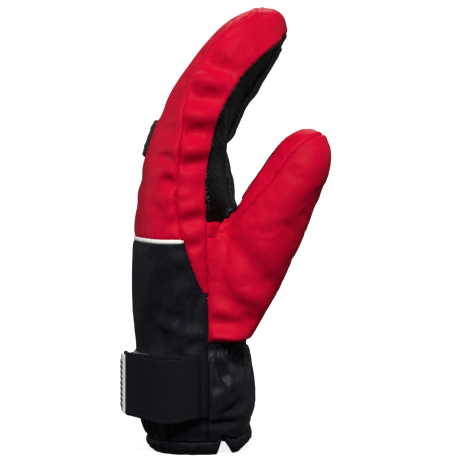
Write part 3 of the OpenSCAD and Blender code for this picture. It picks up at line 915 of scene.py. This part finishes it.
def make_materials():
    mats = {}
    for name, (dark, light, weave, pitch, look) in CLOTHS.items():
        mats[name] = cloth_material(name, linear(*dark), linear(*light), weave, pitch, **look)
    for make, table in ((leather_material, LEATHERS), (moulded_material, MOULDED)):
        for name, (first, second, *rest) in table.items():
            mats[name] = make(name, linear(*first), linear(*second), *rest)
    return mats


# ---------------------------------------------------------------- straps, patches and trims

def path_frames(points):
    """Points along a plan path with their outward directions and distances along it."""
    table = np.array(points, float)
    along = np.gradient(table, axis=0)
    along /= np.linalg.norm(along, axis=1)[:, None]
    outward = np.stack([-along[:, 1], along[:, 0]], axis=1)
    steps = np.linalg.norm(np.diff(table, axis=0), axis=1)
    return table, outward, np.concatenate([[0], np.cumsum(steps)])


def strip(name, points, inner, outer, bottom, top, round_edge=1.0, rib=0.0, stitch_inset=0.0):
    """A closed flat strip that follows a plan path: thickness from inner to outer, with rounded edges.

    bottom and top are heights, or functions of the place on the path."""
    table, outward, along = path_frames(points)
    length = along[-1]
    heights = np.concatenate([[0, 0.006, 0.02, 0.04], np.linspace(0.06, 0.94, 34), [0.96, 0.98, 0.994, 1]])
    verts, rings = [], len(table)
    for i in range(rings):
        z0 = bottom(*table[i]) if callable(bottom) else bottom
        z1 = top(*table[i]) if callable(top) else top
        end = min(along[i], length - along[i])
        end_round = round_off(end, round_edge)
        middle, half = (inner + outer) / 2, (outer - inner) / 2
        ring = []
        for way in (1, -1):
            for h in heights if way == 1 else heights[-2:0:-1]:
                edge = min(h, 1 - h) * (z1 - z0)
                fat = round_off(edge, round_edge) * max(end_round, 0.02)
                groove = 0.0
                if stitch_inset and way == 1:
                    groove = 0.3 * math.exp(-((edge - stitch_inset) / 0.45) ** 2)
                    groove += 0.3 * math.exp(-((end - stitch_inset) / 0.45) ** 2)
                wave = rib * math.sin(h * (z1 - z0) * 2.4) if way == 1 else 0
                offset = middle + way * half * fat - (groove - wave) * fat
                x, y = table[i] + outward[i] * offset
                ring.append((x, y, z0 + h * (z1 - z0)))
        verts += ring
    return closed_object(name, verts, ring_faces(rings, len(ring)))


def tube(name, points, radius, around):
    """A closed round tube through points, narrower at its ends."""
    table = np.array(points, float)
    n = len(table)
    verts = []
    for i in range(n):
        d = Vector(table[min(i + 1, n - 1)] - table[max(i - 1, 0)]).normalized()
        side = d.cross(Vector((0, 0, 1))).normalized()
        up = side.cross(d)
        end = min(i, n - 1 - i)
        r = radius * (0.55 if end == 0 else 0.9 if end == 1 else 1)
        for k in range(around):
            q = k * math.tau / around
            verts.append(tuple(Vector(table[i]) + side * (r * math.cos(q)) + up * (r * math.sin(q))))
    return closed_object(name, verts, ring_faces(n, around))


# Places along one stitch and the share of its thickness there
STITCH_FORM = [(0, 0.35), (0.12, 0.85), (0.5, 1), (0.88, 0.85), (1, 0.35)]
STITCH_SIDES = 6


def stitches(name, runs, length=2.2, gap=1.2, radius=0.28, sink=0.1):
    """Rows of thread: each run is a list of (point, outward direction)."""
    verts, faces = [], []
    for run in runs:
        points = np.array([p for p, _ in run], float)
        outs = np.array([o for _, o in run], float)
        along = np.concatenate([[0], np.cumsum(np.linalg.norm(np.diff(points, axis=0), axis=1))])
        start = gap / 2
        while start + length < along[-1]:
            a, b = [np.array([np.interp(s, along, points[:, k]) for k in range(3)])
                    for s in (start, start + length)]
            out = Vector([np.interp(start + length / 2, along, outs[:, k]) for k in range(3)]).normalized()
            d = Vector(b - a).normalized()
            side = d.cross(out).normalized()
            base = len(verts)
            for t, size in STITCH_FORM:
                middle = Vector(a + (b - a) * t) + out * (radius * (0.9 * size) - sink)
                for k in range(STITCH_SIDES):
                    q = k * math.tau / STITCH_SIDES
                    verts.append(tuple(middle + side * (radius * size * math.cos(q))
                                       + out * (radius * size * math.sin(q))))
            faces += ring_faces(len(STITCH_FORM), STITCH_SIDES, base)
            start += length + gap
    return closed_object(name, verts, faces)


def gather(objects):
    """The points, in millimetres, and the faces of several objects together."""
    verts, faces = [], []
    for obj in objects:
        shift = len(verts)
        verts += [Vector(p) for p in points_of(obj.data)]
        faces += [tuple(i + shift for i in p.vertices) for p in obj.data.polygons]
    return verts, faces


def hit(tree, origin, direction):
    """Where a ray meets the shell, and the normal there that faces the ray."""
    point, normal, _, _ = tree.ray_cast(Vector(origin), Vector(direction).normalized())
    if point is not None and normal.dot(Vector(direction)) > 0:
        normal = -normal
    return point, normal


# The strap's path in plan, x then y: along the side, then over the back of the cuff
STRAP_SIDE = [(4.3, -59.1), (-9, -60.8), (-22, -58.6), (-33, -52.2), (-39.6, -46)]
STRAP_BACK = [(-39.6, -46), (-41.7, -34), (-42, -16), (-41.4, 4), (-39.8, 24)]
STRAP_T, STRAP_Z, STRAP_W = 2.5, 24, 40    # thickness, height of the lower edge, width


def strap_bottom(x, y):
    """Lower edge of the strap over a place of its path: it sags between its sewn end and the bend."""
    sag = 4.2 * math.exp(-((x + 16) / 15) ** 2) * (y < -40)
    return STRAP_Z + 1.0 - sag + 3 * float(ease((y + 20) / 50))


def strap_top(x, y):
    """Upper edge: it falls a little in the middle of the side and tapers to the free end."""
    sag = 1.4 * math.exp(-((x + 16) / 17) ** 2) * (y < -40)
    return STRAP_Z + STRAP_W - sag - 6.5 * float(ease((y + 42) / 60))


def band_in(inset):
    """The lower and upper edge of a band that lies on the strap, this far in from its edges."""
    return lambda x, y: strap_bottom(x, y) + inset, lambda x, y: strap_top(x, y) - inset


def bend_strap(obj):
    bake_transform(obj)


def build_strap(mats):
    line = np.vstack([smooth(STRAP_SIDE, 8), smooth(STRAP_BACK, 8)[1:]])
    face = STRAP_T / 2
    strap = strip("wrist_strap", line, -face, face, strap_bottom, strap_top, round_edge=1.0, rib=0.05,
                  stitch_inset=2.6)
    strap.data.materials.append(mats["webbing"])
    bend_strap(strap)
    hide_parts("strap_base", "strap_end")

    label = strip("strap_label_patch", curve_part(STRAP_BACK, 0.12, 2.5), face + 0.1, face + 1.8,
                  *band_in(1.5), round_edge=0.8)
    finish_piece(label, mats["label_rubber"], "strap_back", ["strap_label"])
    bars = []
    for i in range(9):
        foot = STRAP_Z + 5.5 + i * 3.3
        bars.append(strip(f"mark_{i}", curve_part(STRAP_BACK, 0.35, 1.9 + 0.25 * (i % 2)), face + 1.7,
                          face + 2.15, foot, foot + 1.9, round_edge=0.3))
    marks = join(bars, "label_bars")
    finish_piece(marks, mats["mark_black"], "strap_back", ["label_marks"])
    hook = strip("hook_tape", curve_part(STRAP_BACK, 0.75, 3.75), -face - 2.3, -face - 0.1, *band_in(3),
                 round_edge=0.6)
    finish_piece(hook, mats["hook_and_loop"], "strap_back", ["hook_patch"])

    runs = []
    table, outward, _ = path_frames(line)
    for edge in band_in(2.6):
        run = []
        for i in range(2, len(table) - 2):
            x, y = table[i] + outward[i] * (face - 0.3)
            run.append(((x, y, edge(*table[i])), (*outward[i], 0)))
        runs.append(run)
    thread = stitches("strap_stitches", runs, length=2.0, gap=1.0, radius=0.24, sink=0.15)
    thread.data.materials.append(mats["thread_black"])
    bend_strap(thread)


def curve_part(points, first, last, per=8):
    """Points of a smooth curve between two places on it."""
    table = np.array(points, float)
    count = int((last - first) * per) + 1
    return [row_at(table, first + (last - first) * k / (count - 1)) for k in range(count)]


def join(objects, name):
    """One object from several."""
    made = new_object(name, *gather(objects))
    for obj in objects:
        bpy.data.objects.remove(obj)
    smooth_shade(made)
    return made


def from_back(y, z):
    """Where a ray onto the back of the mitten starts."""
    return (-FAR, y, z)


def patch_on(name, tree, a_values, z_values, origin_of, direction, inner, outer, corner, rim=0.0):
    """A rounded plate laid on the shell: a grid of rays gives its back, its own thickness the front."""
    na, nz = len(a_values), len(z_values)
    a0, a1, z0, z1 = a_values[0], a_values[-1], z_values[0], z_values[-1]
    back, front = [], []
    for a in a_values:
        for z in z_values:
            ca, cz = rounded(a, z, a0, a1, z0, z1, corner)
            point, normal = hit(tree, origin_of(ca, cz), direction)
            edge = min(a - a0, a1 - a, z - z0, z1 - z)
            fat = round_off(edge, 0.9)
            ridge = rim * math.exp(-((edge - 1.8) / 0.7) ** 2)
            back.append(tuple(point + normal * inner))
            front.append(tuple(point + normal * (inner + (outer - inner) * (0.35 + 0.65 * fat) + ridge)))
    verts = back + front
    n = na * nz
    faces = []
    for i in range(na - 1):
        for j in range(nz - 1):
            q = (i * nz + j, i * nz + j + 1, (i + 1) * nz + j + 1, (i + 1) * nz + j)
            faces.append(q)
            faces.append(tuple(k + n for k in q[::-1]))
    ring = [i * nz for i in range(na)] + [(na - 1) * nz + j for j in range(1, nz)]
    ring += [i * nz + nz - 1 for i in range(na - 2, -1, -1)] + [j for j in range(nz - 2, 0, -1)]
    for k, v in enumerate(ring):
        w = ring[(k + 1) % len(ring)]
        faces.append((v, w, w + n, v + n))
    return closed_object(name, verts, faces)


def rounded(a, z, a0, a1, z0, z1, corner):
    """Draws a grid point near a rectangle's corner in, so that the corner is round."""
    ca = min(max(a, a0 + corner), a1 - corner)
    cz = min(max(z, z0 + corner), z1 - corner)
    da, dz = a - ca, z - cz
    if abs(da) < 1e-9 or abs(dz) < 1e-9:
        return a, z
    reach = max(abs(da), abs(dz)) / math.hypot(da, dz)
    return ca + da * reach, cz + dz * reach


def build_piping(mats, tree):
    """The cord round the back of the hand, where the back panel meets the cuff."""
    points = []
    for a in np.linspace(-90, -270, 90):
        d = (math.cos(math.radians(a)), math.sin(math.radians(a)), 0)
        z = 133.2 if a < -95 else 132.4
        point, _ = hit(tree, (-5.5, 0, z), d)
        z = float(np.interp(point.x, [p[0] for p in PIPING_LINE], [p[1] for p in PIPING_LINE]))
        point, _ = hit(tree, (-5.5, 0, z), d)
        points.append(tuple(Vector((point.x, point.y, z)) + Vector(d) * 0.8))
    points = np.array(points)
    points[1:-1] = (points[:-2] + points[1:-1] * 2 + points[2:]) / 4
    cord = tube("piping_trim", points, 1.45, around=12)
    finish_piece(cord, mats["piping"], "root", ["piping"])


def build_badge(mats, tree):
    """The rubber badge on the back of the hand, with three plain ribs."""
    plate = patch_on("hand_badge", tree, np.linspace(-11, 11, 34), np.linspace(182.5, 205.5, 34),
                     from_back, (1, 0, 0), 0.1, 2.0, corner=3.0, rim=0.4)
    finish_piece(plate, mats["badge_rubber"], "fingers", ["back_badge"])
    bars = []
    for k in range(3):
        run = []
        for s in np.linspace(-1, 1, 12):
            point, normal = hit(tree, from_back(s * 5.5, 188.5 + k * 5.5 + 2.2 * abs(s)), (1, 0, 0))
            run.append(tuple(point + normal * 2.0))
        bars.append(tube(f"bar_{k}", run, 0.8, around=8))
    ribs = join(bars, "badge_ribs")
    finish_piece(ribs, mats["badge_rubber"], "fingers")


def plane_piece(name, source, planes):
    """The part of a mesh on the inner side of planes, each given by a point and its outward normal."""
    obj = in_scene(name, source.data.copy())
    obj.data.name = name
    with editing(obj.data) as bm:
        for place, normal in planes:
            split_along(bm, place, normal, clear_outer=True)
    return obj


OVERLAY_Y = (-22, 38)  # the overlay's edges across the palm


def build_overlay(mats, palm, tree):
    """The reinforcing patch sewn on the palm, with its stitches."""
    top, foot = (55, 0, 250), (20, 0, 92)
    planes = [((0, OVERLAY_Y[0], 0), (0, -1, 0)), ((0, OVERLAY_Y[1], 0), (0, 1, 0)),
              (top, (0.6, 0, 0.8)), (foot, (0, 0, -1))]
    patch = plane_piece("palm_overlay_patch", palm, planes)
    co, no = points_of(patch.data), normals_of(patch.data)
    keep_in = ease((co[:, 1] - OVERLAY_Y[0]) / 1.2) * ease((OVERLAY_Y[1] - co[:, 1]) / 1.2)
    set_points(patch.data, co + no * (0.25 + 0.75 * keep_in)[:, None])
    thicken(patch, 0.8)
    finish_piece(patch, mats["overlay_leather"], "fingers bend",
                 ["palm_overlay", "palm_overlay_fingers"])
    runs = []
    for y in (OVERLAY_Y[0] + 1.8, OVERLAY_Y[1] - 1.8):
        run = []
        for z in np.linspace(95, 246, 110):
            point, normal = hit(tree, (140, y, z), (-1, 0, 0))
            if point is not None and point.z < 248:
                run.append((tuple(point + normal * 1.0), tuple(normal)))
        runs.append(run)
    thread = stitches("overlay_stitches", runs, length=2.4, gap=1.2, radius=0.26)
    finish_piece(thread, mats["thread_grey"], "fingers bend")


LINING_INSET = 8.5    # how far the lining lies inside the shell's full form


def build_lining(mats):
    """The brushed lining of the hand and thumb, joined to the hem at the rim."""
    for name, table, dome, step, square, nodes, body in (
            ("hand_lining", HAND, HAND_DOME, HAND_STEP, HAND_SQUARE,
             ["lining", "lining_fingers", "cuff_lining", "waterproof_insert", "waterproof_insert_fingers"],
             "fingers bend"),
            ("thumb_lining", THUMB, THUMB_DOME, THUMB_STEP, THUMB_SQUARE,
             ["lining_thumb", "waterproof_insert_thumb"], "thumb bend")):
        hand = name == "hand_lining"
        verts, faces = loft(table, dome, step, square, LINING_INSET, around=56, row_step=0.4)
        if hand:
            flare = 6.3 * ease(1 - verts[:, 2] / 16)
            out = verts * [1, 1, 0]
            out /= np.maximum(np.linalg.norm(out, axis=1), 1e-6)[:, None]
            verts = verts + out * flare[:, None]
        obj = new_object(name, verts, faces)
        floor, normal = ((0, 0, 1.6), (0, 0, 1)) if hand else (row_at(table, 1.6)[:3], THUMB_AXIS)
        with editing(obj.data) as bm:
            split_along(bm, floor, normal, clear_inner=True)
        co = points_of(obj.data)
        if hand:
            co[:, 2] += hem_lift(co[:, 0] * 1.04) * clamp01(1 - co[:, 2] / 14)
        co += normals_of(obj.data) * (0.5 * noise_at(co, 0.08, 6))[:, None]
        set_points(obj.data, co)
        thicken(obj, 0.8)
        finish_piece(obj, mats["lining"], body, nodes)


def build_cuff_patches(mats, tree):
    """Loop tape on the back of the cuff and the strap's sewn end."""
    loop_tape = patch_on("loop_tape", tree, np.linspace(-34, 30, 60), np.linspace(27, 61, 34),
                         from_back, (1, 0, 0), 0.05, 1.7, corner=2.0)
    finish_piece(loop_tape, mats["hook_and_loop"], "root", ["loop_patch"])
    end = patch_on("strap_sewn_end", tree, np.linspace(4.8, 8.8, 10), np.linspace(24, 63.5, 60),
                   lambda a, z: (a, -FAR, z), (0, 1, 0), 0.05, 1.7, corner=0.6)
    finish_piece(end, mats["webbing"], "root", ["strap_anchor"])


def row_on(tree, points, direction):
    """Surface points and normals under points of a line, looking along a direction."""
    run = []
    for p in points:
        point, normal = hit(tree, Vector(p) - Vector(direction) * FAR, direction)
        if point is not None:
            run.append((tuple(point), tuple(normal)))
    return run


def build_stitches(mats, tree):
    """Top stitching above the hem, on both sides of the cuff."""
    runs = []
    for side in (-1, 1):
        points = [(x, 0, HEM_Z + 1.6) for x in np.linspace(-24, 13, 60)]
        runs.append(row_on(tree, points, (0, -side, 0)))
    thread = stitches("hem_stitches", runs, length=2.0, gap=1.1, radius=0.22)
    finish_piece(thread, mats["thread_black"], "root")


# ---------------------------------------------------------------- assembly

def build_shell(mats):
    """The panels of the shell; gives back a search tree over them and a copy of the palm's surface."""
    shell = merged_form("shell", PUFF, VOXEL)
    cut_panels(shell)
    puff(shell)
    subdivide(shell, 1)
    relief(shell)
    panels = split_panels(shell)
    whole = BVHTree.FromPolygons(*gather(panels.values()))
    palm_copy = new_object("palm_copy", *gather([panels["palm"]]))
    for name, (nodes, slot, body) in PANELS.items():
        piece = panels[name]
        piece.name = name + ("_leather" if slot == "palm_leather" else "_cloth")
        thicken(piece, SHELL_THICKNESS)
        material = mats["gathered_cloth" if name == "cuff_palm" else slot]
        finish_piece(piece, material, {None: "root"}.get(body, f"{body} bend"), nodes)
    return whole, palm_copy


def build_stage():
    """A pale floor that sweeps up into a wall behind the object."""
    profile = [(-2.4, 0.0)] + [(1.2 + 0.9 * math.sin(a), 0.9 - 0.9 * math.cos(a))
                              for a in np.radians(np.arange(0, 91, 7.5))] + [(2.1, 4.0)]
    verts = [(x, y, z) for y, z in profile for x in (-4, 4)]
    faces = [(2 * i, 2 * i + 1, 2 * i + 3, 2 * i + 2) for i in range(len(profile) - 1)]
    floor = new_object("backdrop", np.array(verts) / MM, faces)
    smooth_shade(floor)
    material, tree, shader = node_material("backdrop_paper")
    shader.inputs["Roughness"].default_value = 0.9
    shader.inputs["Specular IOR Level"].default_value = 0.1
    shader.inputs["Emission Color"].default_value = (1, 1, 1, 1)
    shader.inputs["Emission Strength"].default_value = 0.85
    place = add(tree, "ShaderNodeTexCoord").outputs["Object"]
    grain = add(tree, "ShaderNodeTexNoise", Vector=place, Scale=60.0, Detail=4.0)
    paper = add(tree, "ShaderNodeMix", data_type="RGBA", Factor=grain.outputs["Fac"])
    paper.inputs["A"].default_value = (0.84, 0.84, 0.84, 1)
    paper.inputs["B"].default_value = (0.88, 0.88, 0.88, 1)
    tree.links.new(paper.outputs["Result"], shader.inputs["Base Color"])
    floor.data.materials.append(material)
    floor.visible_diffuse = False       # the white paper does not brighten the dark sides of the mitten
    floor.visible_glossy = False


# Area lights: place, width and height in metres, power in watts
LIGHTS = {
    "key": ((-0.02, -1.3, 1.15), 0.4, 28), "back": ((0, 1.4, 1.3), 0.8, 10),
    "side_right": ((1.4, 0.45, 0.5), 0.7, 3), "side_left": ((-1.4, 0.45, 0.5), 0.7, 4),
}
LIGHT_TARGET = Vector((0.02, 0, 0.14))
WORLD_STRENGTH = 0.1


def build_light():
    """A dim even world and four soft lamps that face the mitten."""
    world = bpy.data.worlds.new("studio")
    world.use_nodes = True
    sky = world.node_tree.nodes["Background"]
    sky.inputs["Color"].default_value = (1, 1, 1, 1)
    sky.inputs["Strength"].default_value = WORLD_STRENGTH
    bpy.context.scene.world = world
    for name, (place, size, power) in LIGHTS.items():
        data = bpy.data.lights.new(name, "AREA")
        data.shape = "RECTANGLE"
        data.size = data.size_y = size
        data.energy = power
        light = in_scene(name, data)
        light.location = place
        light.rotation_euler = (LIGHT_TARGET - Vector(place)).to_track_quat("-Z", "Y").to_euler()


CAMERA_TARGET = Vector((23.3, 0, 135.9)) * MM
CAMERA_TILT = math.radians(2.5)
CAMERA_DISTANCE = 1.5
VIEW_WIDTH = 0.291    # how much the picture spans at the target, in metres
SENSOR = 36


def build_camera():
    data = bpy.data.cameras.new("camera")
    camera = in_scene("camera", data)
    away = Vector((0, -math.cos(CAMERA_TILT), math.sin(CAMERA_TILT)))
    camera.location = CAMERA_TARGET + away * CAMERA_DISTANCE
    camera.rotation_euler = (CAMERA_TARGET - camera.location).to_track_quat("-Z", "Y").to_euler()
    data.sensor_width = SENSOR
    data.lens = SENSOR * CAMERA_DISTANCE / VIEW_WIDTH
    bpy.context.scene.camera = camera


def main():
    mats = make_materials()
    build_camera()
    build_stage()
    build_light()
    shell_tree, palm_copy = build_shell(mats)
    build_overlay(mats, palm_copy, shell_tree)
    bpy.data.objects.remove(palm_copy)
    build_piping(mats, shell_tree)
    build_badge(mats, shell_tree)
    build_cuff_patches(mats, shell_tree)
    build_strap(mats)
    build_stitches(mats, shell_tree)
    build_lining(mats)
    bpy.context.scene.view_settings.view_transform = "Standard"


main()
